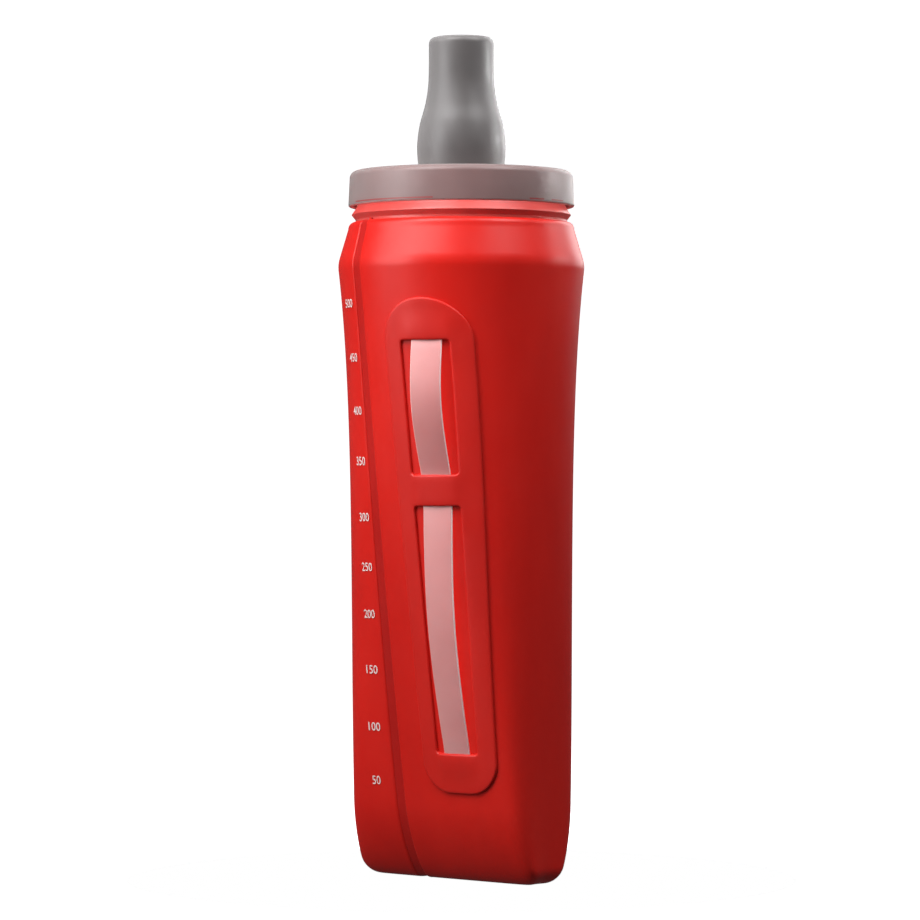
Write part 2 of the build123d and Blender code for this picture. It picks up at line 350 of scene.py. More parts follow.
def front_point(x, z, out):
    """Point over the grip face at x and z, moved outward by a distance."""
    x = np.asarray(x, float)
    z = np.asarray(z, float)

    def depth_at(x, z):
        width, depth, squareness = section(z)
        t = quarter_at(x, width, squareness)
        return depth * quarter(t, squareness)[1]

    step = 0.05
    y = depth_at(x, z)
    slope_x = (depth_at(x + step, z) - depth_at(x - step, z)) / (2 * step)
    slope_z = (depth_at(x, z + step) - depth_at(x, z - step)) / (2 * step)
    length = np.sqrt(slope_x**2 + slope_z**2 + 1)
    return x - slope_x / length * out, -y - out / length, z - slope_z / length * out


def body_rings():
    """Height, half width, half depth and squareness of the body's rings, from the base to the lip."""
    swing = np.radians(np.linspace(0, 90, 30))
    heights = np.concatenate([
        KEEL_HEIGHT * (1 - np.cos(swing)),
        np.linspace(KEEL_HEIGHT, CREASE_Z - CREASE_ZONE, 90)[1:],
        np.linspace(CREASE_Z - CREASE_ZONE, CREASE_Z + CREASE_ZONE, 26)[1:],
        np.linspace(CREASE_Z + CREASE_ZONE, LIP_Z, 6)[1:],
    ])
    width, depth, squareness = section(heights)
    lip = np.radians(np.linspace(15, 90, 7))
    lip_radius = LIP_RADIUS - LIP_ROUNDING * (1 - np.cos(lip))
    lip_height = LIP_Z + (SHELL_HIGH.z - LIP_Z) * np.sin(lip)
    lip_radius = np.append(lip_radius, [NECK_RADIUS + gap for gap, _ in LIP_TUCK])
    lip_height = np.append(lip_height, [height for _, height in LIP_TUCK])
    heights = np.append(heights, lip_height)
    width = np.append(width, lip_radius)
    depth = np.append(depth, lip_radius)
    squareness = np.append(squareness, np.full(len(lip_radius), ROUND))
    return heights, width, depth, squareness


# Each shell's edge beside the weld: distance from the edge, and how far under the skin
EDGE_STEPS = [(0.0, 0.8), (0.0, 0.30), (0.10, 0.18), (0.26, 0.07), (0.48, 0.0), (0.9, 0.0)]


def shell(edge_x, side, columns):
    """Points and faces of one shell: from its edge on the grip face round to the back.

    side is 1 for the shell towards +X and -1 for the other.
    """
    heights, width, depth, squareness = body_rings()
    rings = []
    steps = [(edge_x + side * along, under) for along, under in EDGE_STEPS]
    for x, under in steps:
        t = quarter_at(x, width, squareness)
        turn = -t if x < 0 else t
        rings.append(np.array([*ring_point(width - under, depth - under, squareness, turn), heights]))
    x_last = steps[-1][0]
    start = -quarter_at(x_last, width, squareness)
    if side > 0:
        first, last = start, 2 - start
    else:
        first, last = start, -2 - start
    for share in np.linspace(0, 1, columns)[1:-1]:
        turn = first + (last - first) * share
        rings.append(np.array([*ring_point(width, depth, squareness, turn), heights]))
    for x, under in reversed(steps):
        t = quarter_at(x, width, squareness)
        turn = 2 + t if x < 0 else 2 - t
        rings.append(np.array([*ring_point(width - under, depth - under, squareness, turn), heights]))
    points = np.array(rings)
    count, _, rows = points.shape
    flat = [tuple(points[column, :, row]) for row in range(rows) for column in range(count)]
    faces = grid_faces(rows, count)
    for column in range(count // 2 - 1):
        faces.append((column, column + 1, count - 2 - column, count - 1 - column))
    return flat, faces


def weld_band():
    """Points and faces of the recessed band: down the grip face, under the base and up the back."""
    heights, width, depth, squareness = body_rings()
    columns = np.linspace(WELD_LOW.x - WELD_OVERLAP, WELD_HIGH.x + WELD_OVERLAP, 13)
    front, back = [], []
    for x in columns:
        t = quarter_at(x, width - WELD_RECESS, squareness)
        for strip, turn in [(front, -t), (back, 2 + t)]:
            x_there, y = ring_point(width - WELD_RECESS, depth - WELD_RECESS, squareness, turn)
            lifted = np.maximum(heights, WELD_RECESS * (heights < 1))
            strip.append(np.array([x_there, y, lifted]))
    front = np.array(front)[:, :, ::-1]
    strip = np.concatenate([front, np.array(back)], axis=2)
    count, _, rows = strip.shape
    points = [tuple(strip[column, :, row]) for row in range(rows) for column in range(count)]
    return points, grid_faces(rows, count)


# Materials

GRAIN_HEIGHT = 0.0002


def material(name, color, roughness, **settings):
    """A principled material. settings go straight to the shader's own sockets."""
    made = bpy.data.materials.new(name)
    made.use_nodes = True
    shader = made.node_tree.nodes["Principled BSDF"]
    shader.inputs["Base Color"].default_value = (*color, 1)
    shader.inputs["Roughness"].default_value = roughness
    for socket, value in settings.items():
        shader.inputs[socket.replace("_", " ")].default_value = value
    return made


def add_node(made, kind, **values):
    node = made.node_tree.nodes.new(kind)
    for key, value in values.items():
        if hasattr(node, key):
            setattr(node, key, value)
        else:
            node.inputs[key.replace("_", " ")].default_value = value
    return node


def noise(made, scale, detail=4.0, stretch=(1, 1, 1)):
    """Noise in object space, stretched along the axes; scale is per metre."""
    links = made.node_tree.links
    place = add_node(made, "ShaderNodeTexCoord")
    mapping = add_node(made, "ShaderNodeMapping")
    mapping.inputs["Scale"].default_value = stretch
    texture = add_node(made, "ShaderNodeTexNoise", Scale=scale, Detail=detail)
    links.new(place.outputs["Object"], mapping.inputs["Vector"])
    links.new(mapping.outputs["Vector"], texture.inputs["Vector"])
    return texture


def vary_color(made, texture, dark, light, low=0.35, high=0.65):
    """Base colour runs from dark to light with the texture."""
    links = made.node_tree.links
    ramp = add_node(made, "ShaderNodeValToRGB")
    ramp.color_ramp.elements[0].position = low
    ramp.color_ramp.elements[0].color = (*dark, 1)
    ramp.color_ramp.elements[1].position = high
    ramp.color_ramp.elements[1].color = (*light, 1)
    links.new(texture.outputs["Fac"], ramp.inputs["Fac"])
    links.new(ramp.outputs["Color"], made.node_tree.nodes["Principled BSDF"].inputs["Base Color"])


def mix_over_base(made, factor, color):
    """Mixes a colour over what feeds the base colour, by a factor from another node."""
    nodes, links = made.node_tree.nodes, made.node_tree.links
    base = nodes["Principled BSDF"].inputs["Base Color"]
    under = base.links[0].from_socket
    mix = nodes.new("ShaderNodeMix")
    mix.data_type = "RGBA"
    mix.inputs[7].default_value = (*color, 1)
    links.new(factor, mix.inputs[0])
    links.new(under, mix.inputs[6])
    links.new(mix.outputs[2], base)


def paint_grazing_sheen(made, color, blend):
    """Painted sheen: turns the colour lighter where the surface is seen at a grazing angle."""
    facing = made.node_tree.nodes.new("ShaderNodeLayerWeight")
    facing.inputs["Blend"].default_value = blend
    mix_over_base(made, facing.outputs["Facing"], color)


def paint_marked_highlight(made, attribute, color):
    """Turns the base colour to another one where a mesh attribute is 1: a painted highlight."""
    marked = made.node_tree.nodes.new("ShaderNodeAttribute")
    marked.attribute_name = attribute
    mix_over_base(made, marked.outputs["Fac"], color)


def tint_band(made, low, high, color, arcs=None):
    """Tints the band between two heights in metres, all round or only in arcs of degrees round Z; here it
    paints shade and a highlight on the cap.
    """
    nodes, links = made.node_tree.nodes, made.node_tree.links
    place = nodes.new("ShaderNodeTexCoord")
    axes = nodes.new("ShaderNodeSeparateXYZ")
    links.new(place.outputs["Object"], axes.inputs["Vector"])
    band = nodes.new("ShaderNodeMath")
    band.operation = "COMPARE"
    band.inputs[1].default_value = (low + high) / 2
    band.inputs[2].default_value = (high - low) / 2
    links.new(axes.outputs["Z"], band.inputs[0])
    mask = band
    if arcs is not None:
        round_axis = nodes.new("ShaderNodeTexGradient")
        round_axis.gradient_type = "RADIAL"
        links.new(place.outputs["Object"], round_axis.inputs["Vector"])
        ramp = nodes.new("ShaderNodeValToRGB")
        ramp.color_ramp.interpolation = "CONSTANT"
        stops = ramp.color_ramp.elements
        stops[0].color = (0, 0, 0, 1)
        stops.remove(stops[1])
        for start, end in arcs:
            stops.new(start / 360 + 0.5).color = (1, 1, 1, 1)
            stops.new(end / 360 + 0.5).color = (0, 0, 0, 1)
        links.new(round_axis.outputs["Fac"], ramp.inputs["Fac"])
        mask = nodes.new("ShaderNodeMath")
        mask.operation = "MULTIPLY"
        links.new(band.outputs[0], mask.inputs[0])
        links.new(ramp.outputs["Color"], mask.inputs[1])
    mix_over_base(made, mask.outputs[0], color)


def vary_roughness(made, texture, smooth, rough):
    links = made.node_tree.links
    remap = add_node(made, "ShaderNodeMapRange")
    remap.inputs["From Min"].default_value = 0.3
    remap.inputs["From Max"].default_value = 0.7
    remap.inputs["To Min"].default_value = smooth
    remap.inputs["To Max"].default_value = rough
    links.new(texture.outputs["Fac"], remap.inputs["Value"])
    links.new(remap.outputs["Result"], made.node_tree.nodes["Principled BSDF"].inputs["Roughness"])


def add_bump(made, textures, height):
    """Bump from a list of (texture, strength), each of the same height in metres."""
    links = made.node_tree.links
    normal = None
    for texture, strength in textures:
        bump = add_node(made, "ShaderNodeBump", Strength=strength, Distance=height)
        links.new(texture.outputs["Fac"], bump.inputs["Height"])
        if normal is not None:
            links.new(normal, bump.inputs["Normal"])
        normal = bump.outputs["Normal"]
    links.new(normal, made.node_tree.nodes["Principled BSDF"].inputs["Normal"])


def red_tpu(name, dark, light, roughness):
    """Satin translucent TPU: slow flow streaks in colour, fine orange peel, soft light inside."""
    made = material(
        name, light, roughness, Subsurface_Weight=0.2, Subsurface_Scale=0.004,
        Subsurface_Radius=(1.0, 0.12, 0.08), Specular_IOR_Level=0.34,
    )
    streaks = noise(made, 42, 3.0, (1, 1, 0.35))
    vary_color(made, streaks, dark, light, 0.3, 0.7)
    vary_roughness(made, noise(made, 90, 4.0), roughness - 0.03, roughness + 0.05)
    add_bump(made, [(noise(made, 2600, 3.0), 0.12), (noise(made, 260, 2.0), 0.05)], GRAIN_HEIGHT)
    return made


BODY_RED = red_tpu("body_tpu", (0.60, 0.010, 0.006), (0.70, 0.015, 0.009), 0.36)
# The weld's copy is darker than the body's: painted shade of its recessed band.
WELD_SHADED_RED = red_tpu("weld_tpu", (0.42, 0.006, 0.004), (0.50, 0.009, 0.006), 0.42)
PANEL_RED = red_tpu("panel_tpu", (0.55, 0.012, 0.008), (0.66, 0.017, 0.011), 0.40)


def frosted(name, dark, light, roughness, grain, edge=None, etch=0.18, **settings):
    """Frosted plastic or silicone: cloudy colour and a fine etched grain; an edge colour, when given, adds a
    painted sheen at grazing angles.
    """
    made = material(name, light, roughness, **settings)
    vary_color(made, noise(made, 60, 3.0), dark, light, 0.3, 0.7)
    # An edge colour is a painted sheen, lighter where the surface is seen at a grazing angle.
    if edge is not None:
        paint_grazing_sheen(made, edge, 0.35)
    vary_roughness(made, noise(made, 150, 4.0), roughness - 0.04, roughness + 0.05)
    add_bump(made, [(noise(made, grain, 3.0), etch), (noise(made, 300, 2.0), etch / 4)], GRAIN_HEIGHT)
    return made


# The edge colours given to the strap, cap and valve are a painted sheen at grazing angles.
STRAP_TPU = frosted(
    "strap_tpu", (0.58, 0.23, 0.225), (0.64, 0.26, 0.255), 0.44, 2600, (0.85, 0.55, 0.54),
    Subsurface_Weight=0.35, Subsurface_Scale=0.003, Subsurface_Radius=(1.0, 0.5, 0.45),
)
# Painted highlight: near-white along the strap's two cut edges.
paint_marked_highlight(STRAP_TPU, "painted_cut_edge_highlight", (1.0, 0.92, 0.915))
CAP_PLASTIC = frosted(
    "cap_plastic", (0.185, 0.108, 0.105), (0.225, 0.135, 0.132), 0.40, 3000, (0.33, 0.28, 0.275),
    Subsurface_Weight=0.3, Subsurface_Scale=0.003, Subsurface_Radius=(1.0, 0.6, 0.58),
)
NECK_PLASTIC = frosted(
    "neck_plastic", (0.56, 0.06, 0.052), (0.65, 0.08, 0.07), 0.34, 2600, etch=0.03,
    Subsurface_Weight=0.3, Subsurface_Scale=0.003, Subsurface_Radius=(1.0, 0.3, 0.25),
)
VALVE_SILICONE = frosted(
    "valve_silicone", (0.085, 0.077, 0.077), (0.105, 0.096, 0.096), 0.42, 3200, (0.34, 0.33, 0.33),
    Subsurface_Weight=0.3, Subsurface_Scale=0.004, Subsurface_Radius=(1.0, 0.9, 0.88),
)
STEM_PLASTIC = frosted(
    "stem_plastic", (0.34, 0.32, 0.31), (0.40, 0.38, 0.37), 0.35, 2400,
    Subsurface_Weight=0.25, Subsurface_Scale=0.003,
)
GASKET_SILICONE = frosted(
    "gasket_silicone", (0.58, 0.57, 0.55), (0.66, 0.65, 0.62), 0.5, 2200,
    Subsurface_Weight=0.2, Subsurface_Scale=0.002,
)
# Painted shade of the thread seen through the cap, and a painted highlight on the cap's lower lip.
tint_band(CAP_PLASTIC, *THREAD_SHADE_BAND, (0.28, 0.035, 0.033), THREAD_SHADE_ARCS)
tint_band(CAP_PLASTIC, *LIP_HIGHLIGHT_BAND, (0.62, 0.33, 0.32))
SCALE_INK = frosted("scale_ink", (0.80, 0.64, 0.62), (0.90, 0.75, 0.73), 0.5, 5200)


def finish_piece(piece, body, slot, *nodes):
    """The piece rides on its body and stands for CAD nodes, which it hides. slot is not used."""
    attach(piece, body)
    if nodes:
        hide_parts(*nodes)


# Shells and weld

def solidify(piece, thickness):
    """Gives an open skin its wall, on the inside, and keeps all of it above the base."""
    wall = piece.modifiers.new("wall", "SOLIDIFY")
    wall.thickness = thickness * MM
    wall.offset = -1
    wall.use_even_offset = False
    graph = bpy.context.evaluated_depsgraph_get()
    walled = bpy.data.meshes.new_from_object(piece.evaluated_get(graph))
    piece.modifiers.clear()
    piece.data = walled
    for vertex in walled.vertices:
        vertex.co.z = max(vertex.co.z, 0)


def build_shells():
    grip = make_object("grip_shell_skin", *shell(WELD_HIGH.x, 1, 150), BODY_RED)
    scale = make_object("scale_shell_skin", *shell(WELD_LOW.x, -1, 76), BODY_RED)
    weld = make_object("weld_band", *weld_band(), WELD_SHADED_RED)
    for piece in (grip, scale):
        smooth_by_angle(piece, 50)
        solidify(piece, WALL)
    solidify(weld, WALL / 2)
    finish_piece(grip, "flask", "body_tpu", "grip_shell")
    finish_piece(scale, "flask", "body_tpu", "scale_shell")
    finish_piece(weld, "flask", "weld_tpu", "weld_seam")


# Panel

def panel_sides(z):
    """Left and right side of the panel at height z."""
    share = (z - PANEL_LOW.z) / (PANEL_HIGH.z - PANEL_LOW.z)
    left = PANEL_X_BOTTOM[0] + (PANEL_X_TOP[0] - PANEL_X_BOTTOM[0]) * share
    right = PANEL_X_BOTTOM[1] + (PANEL_X_TOP[1] - PANEL_X_BOTTOM[1]) * share
    return left, right


def panel_outline(bottom, top, side, top_corner, bottom_corner, inset, spacing=1.2):
    """Outline between two heights, side inside the panel's sides, then moved inward by inset."""
    places = []
    for height, corner, turns in [(bottom, bottom_corner, (180, 270)), (top, top_corner, (0, 90))]:
        left, right = panel_sides(height)
        inward = 1 if height == bottom else -1
        for turn in turns:
            x = right - side - corner if turn in (270, 0) else left + side + corner
            places.append((x, height + inward * corner, corner, turn))
    outline = []
    for number, (x, z, corner, turn) in enumerate(places):
        radius = max(corner - inset, 0.02)
        steps = max(5, int(corner * math.pi / 2 / spacing) + 3)
        for step in range(steps + 1):
            angle = math.radians(turn + 90 * step / steps)
            outline.append((x + radius * math.cos(angle), z + radius * math.sin(angle)))
        after_x, after_z, after_corner, after_turn = places[(number + 1) % 4]
        after_radius = max(after_corner - inset, 0.02)
        angle = math.radians(after_turn)
        start = Vector(outline[-1])
        end = Vector((after_x + after_radius * math.cos(angle), after_z + after_radius * math.sin(angle)))
        straight = math.hypot(after_x - x, after_z - z)
        divisions = max(1, int(straight / spacing))
        outline += [tuple(start.lerp(end, step / divisions)) for step in range(1, divisions)]
    return outline


def smooth_step(value):
    value = np.clip(value, 0, 1)
    return value * value * (3 - 2 * value)


def tunnel_bump(x, z):
    """How far the panel stands up where the strap runs under it."""
    ends = [WINDOWS[0][0], WINDOWS[0][1], WINDOWS[1][0], WINDOWS[1][1]]
    nearest = np.min([np.abs(z - end) for end in ends], axis=0)
    along = 1 - smooth_step((nearest - TUNNEL_FLAT) / TUNNEL_REACH)
    bridge = (z > ends[1]) & (z < ends[2])
    along = np.where(bridge, 1, along)
    across = 1 - smooth_step((np.abs(x - STRAP_X) - STRAP_WIDTH / 2) / TUNNEL_SIDE)
    return TUNNEL_RISE * along * across


# The panel's rounded edge: distance inside its outline, and height over the skin
PANEL_EDGE = [(0.0, -0.15), (0.0, 0.42), (0.06, 0.60), (0.18, 0.74), (0.36, 0.82), (0.65, PANEL_THICKNESS)]


def is_inside(points, loop):
    """Which points lie inside a closed loop."""
    inside = np.zeros(len(points), bool)
    for (x0, y0), (x1, y1) in zip(loop, np.roll(loop, -1, axis=0)):
        crosses = (y0 > points[:, 1]) != (y1 > points[:, 1])
        with np.errstate(divide="ignore", invalid="ignore"):
            x = x0 + (points[:, 1] - y0) * (x1 - x0) / (y1 - y0)
        inside ^= crosses & (points[:, 0] < x)
    return inside


def fill_between(loops, spacing):
    """Triangles that fill the space between the first loop and the others, with points inside it."""
    corners, edges = [], []
    for loop in loops:
        start = len(corners)
        corners += [Vector(p) for p in loop]
        edges += [(start + k, start + (k + 1) % len(loop)) for k in range(len(loop))]
    outer = np.array(loops[0])
    inside_x = np.arange(outer[:, 0].min() + spacing, outer[:, 0].max(), spacing)
    inside_z = np.arange(outer[:, 1].min() + spacing, outer[:, 1].max(), spacing)
    boundary = np.array([tuple(c) for c in corners])
    for x in inside_x:
        for z in inside_z:
            if np.min(np.hypot(boundary[:, 0] - x, boundary[:, 1] - z)) > spacing * 0.6:
                corners.append(Vector((x, z)))
    found, _, faces, _, _, _ = delaunay_2d_cdt(corners, edges, [], 1, 1e-5)
    found = np.array([tuple(v) for v in found])
    middles = found[np.array(faces)].mean(axis=1)
    in_hole = np.zeros(len(faces), bool)
    for loop in loops[1:]:
        in_hole |= is_inside(middles, np.array(loop))
    return found, [tuple(face) for face, skip in zip(faces, in_hole) if not skip]


def raised_patch(outlines, edge, height, place, spacing=1.3):
    """A raised patch between outlines, which are functions of the inset: the outside, then holes."""
    parts = []
    for number, outline in enumerate(outlines):
        rows = []
        for inset, level in edge:
            loop = np.array(outline(inset if number == 0 else -inset))
            rows.append(np.array(place(loop[:, 0], loop[:, 1], level, height)).T)
        count = len(rows[0])
        points = [tuple(p) for row in rows for p in row]
        parts.append((points, grid_faces(len(rows), count, closed=True)))
    for inset, level in (edge[-1], edge[0]):
        loops = [outline(inset if number == 0 else -inset) for number, outline in enumerate(outlines)]
        flat, faces = fill_between(loops, spacing)
        lifted = np.array(place(flat[:, 0], flat[:, 1], level, height)).T
        parts.append(([tuple(p) for p in lifted], faces))
    return joined(*parts)


def place_on_front(x, z, level, top):
    """Over the grip face: the strap's tunnels add to a level in proportion to its height."""
    out = level + tunnel_bump(x, z) * max(level, 0) / top
    return front_point(x, z, out)


def build_panel():
    def outside(inset):
        bottom = PANEL_LOW.z + PANEL_LIFT
        return panel_outline(bottom, PANEL_HIGH.z, 0, PANEL_TOP_CORNER, PANEL_BOTTOM_CORNER, inset)

    def window(bottom, top):
        def outline(inset):
            return panel_outline(bottom, top, WINDOW_SIDE, WINDOW_CORNER, WINDOW_CORNER, inset)
        return outline

    outlines = [outside] + [window(bottom, top) for bottom, top in WINDOWS]
    points, faces = raised_patch(outlines, PANEL_EDGE, PANEL_THICKNESS, place_on_front)
    panel = make_object("grip_panel_overlay", points, faces, PANEL_RED)
    smooth_by_angle(panel, 45)
    finish_piece(panel, "flask", "panel_tpu", "grip_panel")


# Strap

def strap_bow(z):
    """How far the strap bows out: not under the panel, and most just above each window's middle."""
    for (bottom, top), bow in zip(WINDOWS, STRAP_BOWS):
        if bottom < z < top:
            share = (z - bottom) / (top - bottom)
            return bow * math.sin(math.pi * share**BOW_LEAN) ** BOW_ENDS
    return 0.0


def strap_seat(z):
    """How far out the body's skin is under the strap's middle, and how far the strap turns there."""
    width, depth, squareness = section(z)
    t = quarter_at(STRAP_X, width, squareness)
    bend = 2 * (1 - squareness) * t * (1 - t)
    fall = depth * (bend + squareness * t * t)
    run = width * (bend + squareness * (1 - t) ** 2)
    return depth * quarter(t, squareness)[1], math.atan(fall / run)


def mark_strap_edge_highlights(strap):
    """Marks the points of the strap's two cut edges, where its material paints a highlight."""
    edge = strap.data.attributes.new("painted_cut_edge_highlight", "FLOAT", "POINT")
    for number, vertex in enumerate(strap.data.vertices):
        x, y, z = (c / MM for c in vertex.co)
        out, turn = strap_seat(z)
        across = (x - STRAP_X) * math.cos(turn) + (y + out) * math.sin(turn)
        edge.data[number].value = float(abs(across) > STRAP_WIDTH / 2 - CUT_EDGE_HIGHLIGHT_WIDTH)


def build_strap():
    half_width = STRAP_WIDTH / 2
    half_thick = STRAP_THICKNESS / 2
    outline = rounded_outline([
        (-half_width, -half_thick, STRAP_CORNER), (half_width, -half_thick, STRAP_CORNER),
        (half_width, half_thick, STRAP_CORNER), (-half_width, half_thick, STRAP_CORNER),
    ], 4)
    heights = np.linspace(STRAP_LOW.z, STRAP_HIGH.z, 190)
    points = []
    for z in heights:
        y, turn = strap_seat(z)
        bow = strap_bow(z)
        away = bow + STRAP_GAP + half_thick
        for across, out in outline:
            reach = away + out - STRAP_CROWN * across**2 * max(0.3, 1 - bow)
            points.append((
                STRAP_X + across * math.cos(turn) + reach * math.sin(turn),
                -y + across * math.sin(turn) - reach * math.cos(turn),
                z,
            ))
    count = len(outline)
    faces = grid_faces(len(heights), count, closed=True)
    faces += [tuple(range(count)), tuple(range(len(points) - count, len(points)))]
    strap = make_object("grip_strap_band", points, faces, STRAP_TPU)
    mark_strap_edge_highlights(strap)
    smooth_by_angle(strap, 60)
    strap.visible_shadow = False
    finish_piece(strap, "flask", "strap_tpu", "grip_strap")


# Printed scale

def build_scale():
    """Plain volume numbers, laid on the skin of the scale shell."""
    parts = []
    for number, height in enumerate(MARK_HEIGHTS):
        label = str((number + 1) * MARK_STEP)
        middle = MARK_X - MARK_CURVE * (height - MARK_X_Z) ** 2
        curve = bpy.data.curves.new("label", "FONT")
        curve.body = label
        curve.align_x = "CENTER"
        curve.align_y = "CENTER"
        curve.resolution_u = 3
        curve.offset = DIGIT_WEIGHT
        text = bpy.data.objects.new("label", curve)
        mesh = bpy.data.meshes.new_from_object(text)
        flat = np.array([tuple(v.co[:2]) for v in mesh.vertices])
        size = flat.max(0) - flat.min(0)
        flat = (flat - (flat.max(0) + flat.min(0)) / 2) / size
        x = middle + flat[:, 0] * (DIGIT_ADVANCE * len(label) + LABEL_MARGIN)
        z = height + flat[:, 1] * DIGIT_HEIGHT
        placed = np.array(front_point(x, z, INK_LIFT)).T
        parts.append(([tuple(p) for p in placed], [tuple(f.vertices) for f in mesh.polygons]))
        bpy.data.objects.remove(text)
        bpy.data.curves.remove(curve)
        bpy.data.meshes.remove(mesh)
    scale = make_object("volume_scale", *joined(*parts), SCALE_INK)
    scale.data.shade_flat()
    ink = scale.modifiers.new("ink", "SOLIDIFY")
    ink.thickness = INK_THICKNESS * MM
    ink.offset = 1
    finish_piece(scale, "flask", "scale_ink")


# Neck, cap and valve

def build_neck():
    outline = rounded_outline([
        (NECK_BORE, NECK_LOW.z + NECK_FLANGE_HEIGHT, 0),
        (NECK_FLANGE[0], NECK_LOW.z, 0.3), (NECK_FLANGE[1], NECK_LOW.z, 0.3),
        (NECK_FLANGE_TOP, LIP_Z, 0.2), (NECK_RADIUS, LIP_Z + 1, 0.3),
        (NECK_RADIUS, BEAD_Z - 1.5, 0.4), (BEAD_RADIUS, BEAD_Z, 0.22),
        (BEAD_TOP_RADIUS, BEAD_Z + 1.9, 0.4), (THREAD_ROOT, BEAD_Z + 3.0, 0.3),
        (THREAD_ROOT, NECK_HIGH.z, 0.4), (NECK_BORE, NECK_HIGH.z, 0.4),
    ], 5)
    ridge = thread_ridge(THREAD_ROOT - THREAD_SINK, THREAD_CREST, 0)
    neck = make_object("neck_ring", *joined(lathe(outline, 192), ridge), NECK_PLASTIC)
    smooth_by_angle(neck, 35)
    finish_piece(neck, "flask", "neck_plastic", "threaded_neck")


def build_cap():
    plate = CAP_HIGH.z - CAP_PLATE
    outside = CAP_HIGH.x
    outline = rounded_outline([
        (CAP_HOLE, CAP_HIGH.z, 0.3), (outside - CAP_DRAFT, CAP_HIGH.z, CAP_TOP_ROUNDING),
        (outside, CAP_LOW.z, CAP_BOTTOM_ROUNDING), (CAP_BORE, CAP_LOW.z, 0.3),
        (CAP_BORE, plate, 0.4), (CAP_HOLE, plate, 0.2),
    ], 8)
    ridge = thread_ridge(CAP_BORE + THREAD_SINK, CAP_BORE - THREAD_DEPTH_IN_CAP, math.pi)
    cap = make_object("screw_collar", *joined(lathe(outline, 192), ridge), CAP_PLASTIC)
    smooth_by_angle(cap, 35)
    cap.visible_shadow = False
    finish_piece(cap, "cap", "cap_plastic", "screw_cap")


def valve_side(steps=60):
    """Outer side of the bite valve from its foot up: a soft bulb that narrows to the tip."""
    radius, height = np.array(VALVE_SIDE).T
    slope = np.gradient(radius, height)
    side = []
    for z in np.linspace(height[0], height[-1], steps):
        k = min(int(np.searchsorted(height, z, side="right")) - 1, len(height) - 2)
        span = height[k + 1] - height[k]
        t = (z - height[k]) / span
        r = (
            radius[k] * (1 + 2 * t) * (1 - t) ** 2 + slope[k] * span * t * (1 - t) ** 2
            + radius[k + 1] * t * t * (3 - 2 * t) + slope[k + 1] * span * t * t * (t - 1)
        )
        side.append((float(r), float(z)))
    return side


def build_valve():
    """The sleeve's outside and inside, and the slit disc that closes its tip."""
    tip = VALVE_HIGH.z
    side = valve_side()
    arc = [
        (
            VALVE_TIP_RADIUS - VALVE_TIP_ROUNDING * (1 - math.cos(angle)),
            tip - VALVE_TIP_ROUNDING * (1 - math.sin(angle)),
        )
        for angle in np.radians(np.linspace(12, 90, 8))
    ]
    ring_count = 144

    def rim(inset):
        radius = DISC_RADIUS - inset
        return [
            (radius * math.cos(2 * math.pi * k / ring_count), radius * math.sin(2 * math.pi * k / ring_count))
            for k in range(ring_count)
        ]

    def slit(inset):
        half_long = SLIT_HALF_LENGTH - inset
        half_wide = SLIT_HALF_WIDTH - inset
        corners = []
        for arm in range(4):
            cos, sin = math.cos(arm * math.pi / 2), math.sin(arm * math.pi / 2)
            for x, y in [(half_long, -half_wide), (half_long, half_wide), (half_wide, half_wide)]:
                corners.append((x * cos - y * sin, x * sin + y * cos))
        return corners

    def on_top(x, y, level, height):
        dip = DISC_DIP * np.exp(-((np.hypot(x, y) / DISC_DIP_RADIUS) ** 2))
        return x, y, np.full_like(x, tip) - height + level - dip * (level > 0)

    wall = [(0.0, 0.0), (0.0, DISC_THICKNESS)]
    disc, disc_faces = raised_patch([rim, slit], wall, DISC_THICKNESS, on_top, 0.8)
    on_rim = [math.hypot(x, y) > DISC_RADIUS - 0.001 for x, y, z in disc]
    open_disc = (disc, [face for face in disc_faces if not all(on_rim[point] for point in face)])
    bore = [
        (VALVE_BORE, VALVE_LOW.z), (VALVE_BORE, CHAMBER_BOTTOM), (CHAMBER_RADIUS, CHAMBER_BOTTOM),
        (CHAMBER_RADIUS, tip - DISC_THICKNESS), (DISC_RADIUS, tip - DISC_THICKNESS),
    ]
    outside = lathe(side + arc + [(DISC_RADIUS, tip)], ring_count, closed=False)
    inside = lathe([side[0]] + bore, ring_count, closed=False)
    valve = make_object("bite_valve_sleeve", *joined(outside, inside, open_disc), VALVE_SILICONE)
    smooth_by_angle(valve, 40)
    finish_piece(valve, "valve", "valve_silicone", "bite_valve")


def set_material(node, made):
    """A CAD node that stays gets a finished material."""
    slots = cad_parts[node].data.materials
    slots.clear()
    slots.append(made)


# Stage, lights and camera

VIEW_AZIMUTH = 41.0
STAGE_RADIUS = 2.2
STAGE_BEND = 1.2
STAGE_HEIGHT = 4.0
PAPER_GLOW = 1.0
SURROUND = 0.09
CAMERA_DISTANCE = 1.225
CAMERA_HEIGHT = 0.120
CAMERA_AIM_HEIGHT = 0.12473
CAMERA_AIM_LEFT = 0.0004
CAMERA_LENS = 160.5
# Name, turn from the view in degrees, distance, height, height aimed at, size, power, spread in degrees
LIGHTS = [
    ("key", -64, 0.45, 0.33, 0.16, (0.32, 0.40), 2.05, 180),
    ("key_high", -38, 0.33, 0.60, 0.16, (0.3, 0.3), 2.9, 180),
    ("fill", 50, 0.33, 0.60, 0.17, (0.3, 0.3), 2.1, 180),
    ("side", 108, 0.35, 0.36, 0.21, (0.10, 0.20), 0.22, 180),
    ("valve_rim", 106, 0.30, 0.26, 0.235, (0.05, 0.08), 0.008, 24),
    ("rim", 145, 0.45, 0.35, 0.20, (0.2, 0.3), 0.7, 180),
]


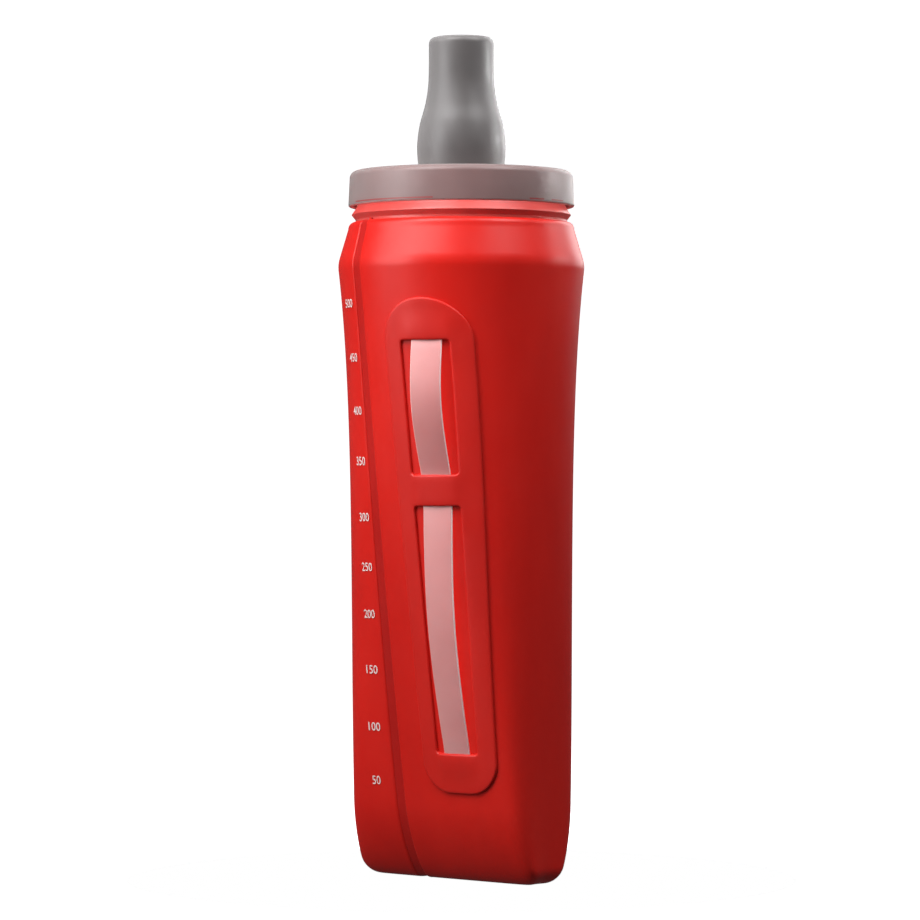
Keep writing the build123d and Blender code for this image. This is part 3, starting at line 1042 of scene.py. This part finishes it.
def around(azimuth, distance, height):
    """Place at an azimuth round the flask, in metres; azimuth 0 is in front of the grip face."""
    angle = math.radians(azimuth)
    return Vector((distance * math.sin(angle), -distance * math.cos(angle), height))


def area_light(name, azimuth, distance, height, aim_height, size, power, spread):
    light = bpy.data.lights.new(name, "AREA")
    light.shape = "RECTANGLE"
    light.size, light.size_y = size
    light.energy = power
    light.spread = math.radians(spread)
    lamp = bpy.data.objects.new(name, light)
    lamp.location = around(azimuth, distance, height)
    aim = Vector((0, 0, aim_height)) - lamp.location
    lamp.rotation_euler = aim.to_track_quat("-Z", "Y").to_euler()
    bpy.context.scene.collection.objects.link(lamp)


def build_stage():
    """A round pale floor that curves up into a pale wall, and a dim even surround."""
    paper = bpy.data.materials.new("studio_paper")
    paper.use_nodes = True
    nodes, links = paper.node_tree.nodes, paper.node_tree.links
    grain = nodes.new("ShaderNodeTexNoise")
    grain.inputs["Scale"].default_value = 900
    bump = nodes.new("ShaderNodeBump")
    bump.inputs["Strength"].default_value = 0.05
    bump.inputs["Distance"].default_value = 0.0002
    shader = nodes["Principled BSDF"]
    shader.inputs["Base Color"].default_value = (0.9, 0.9, 0.9, 1)
    shader.inputs["Roughness"].default_value = 0.9
    shader.inputs["Emission Color"].default_value = (1, 1, 1, 1)
    shader.inputs["Emission Strength"].default_value = PAPER_GLOW
    links.new(grain.outputs["Fac"], bump.inputs["Height"])
    links.new(bump.outputs["Normal"], shader.inputs["Normal"])
    profile = [(0.1, 0.0)] + [
        (STAGE_RADIUS + STAGE_BEND * math.sin(angle), STAGE_BEND * (1 - math.cos(angle)))
        for angle in np.radians(np.linspace(0, 90, 24))
    ]
    profile += [(STAGE_RADIUS + STAGE_BEND, STAGE_HEIGHT)]
    count = 96
    points = [
        tuple(around(360 * step / count, radius, height))
        for radius, height in profile for step in range(count)
    ]
    faces = grid_faces(len(profile), count, closed=True) + [tuple(range(count))]
    mesh = bpy.data.meshes.new("sweep")
    mesh.from_pydata(points, [], faces)
    mesh.materials.append(paper)
    mesh.shade_smooth()
    sweep = bpy.data.objects.new("sweep", mesh)
    bpy.context.scene.collection.objects.link(sweep)
    sweep.visible_glossy = False
    sweep.visible_diffuse = False
    world = bpy.data.worlds.new("studio")
    world.use_nodes = True
    background = world.node_tree.nodes["Background"]
    background.inputs["Color"].default_value = (1, 1, 1, 1)
    background.inputs["Strength"].default_value = SURROUND
    bpy.context.scene.world = world


def build_lights():
    """Softboxes round the flask."""
    for name, turn, distance, height, aim_height, size, power, spread in LIGHTS:
        area_light(name, VIEW_AZIMUTH + turn, distance, height, aim_height, size, power, spread)


def build_camera():
    """Nearly level camera at the height of the flask's middle."""
    camera = bpy.data.cameras.new("camera")
    camera.sensor_width = 36.0
    camera.lens = CAMERA_LENS
    holder = bpy.data.objects.new("camera", camera)
    holder.location = around(VIEW_AZIMUTH, CAMERA_DISTANCE, CAMERA_HEIGHT)
    angle = math.radians(VIEW_AZIMUTH)
    right = Vector((math.cos(angle), math.sin(angle), 0))
    aim = Vector((0, 0, CAMERA_AIM_HEIGHT)) - right * CAMERA_AIM_LEFT
    look = (aim - holder.location).to_track_quat("-Z", "Y")
    holder.rotation_euler = look.to_euler()
    bpy.context.scene.collection.objects.link(holder)
    bpy.context.scene.camera = holder


scene = bpy.context.scene
scene.view_settings.view_transform = "Standard"
build_camera()
build_stage()
build_lights()
build_shells()
build_panel()
build_strap()
build_scale()
build_neck()
build_cap()
build_valve()
set_material("cap_gasket", GASKET_SILICONE)
set_material("spout_stem", STEM_PLASTIC)
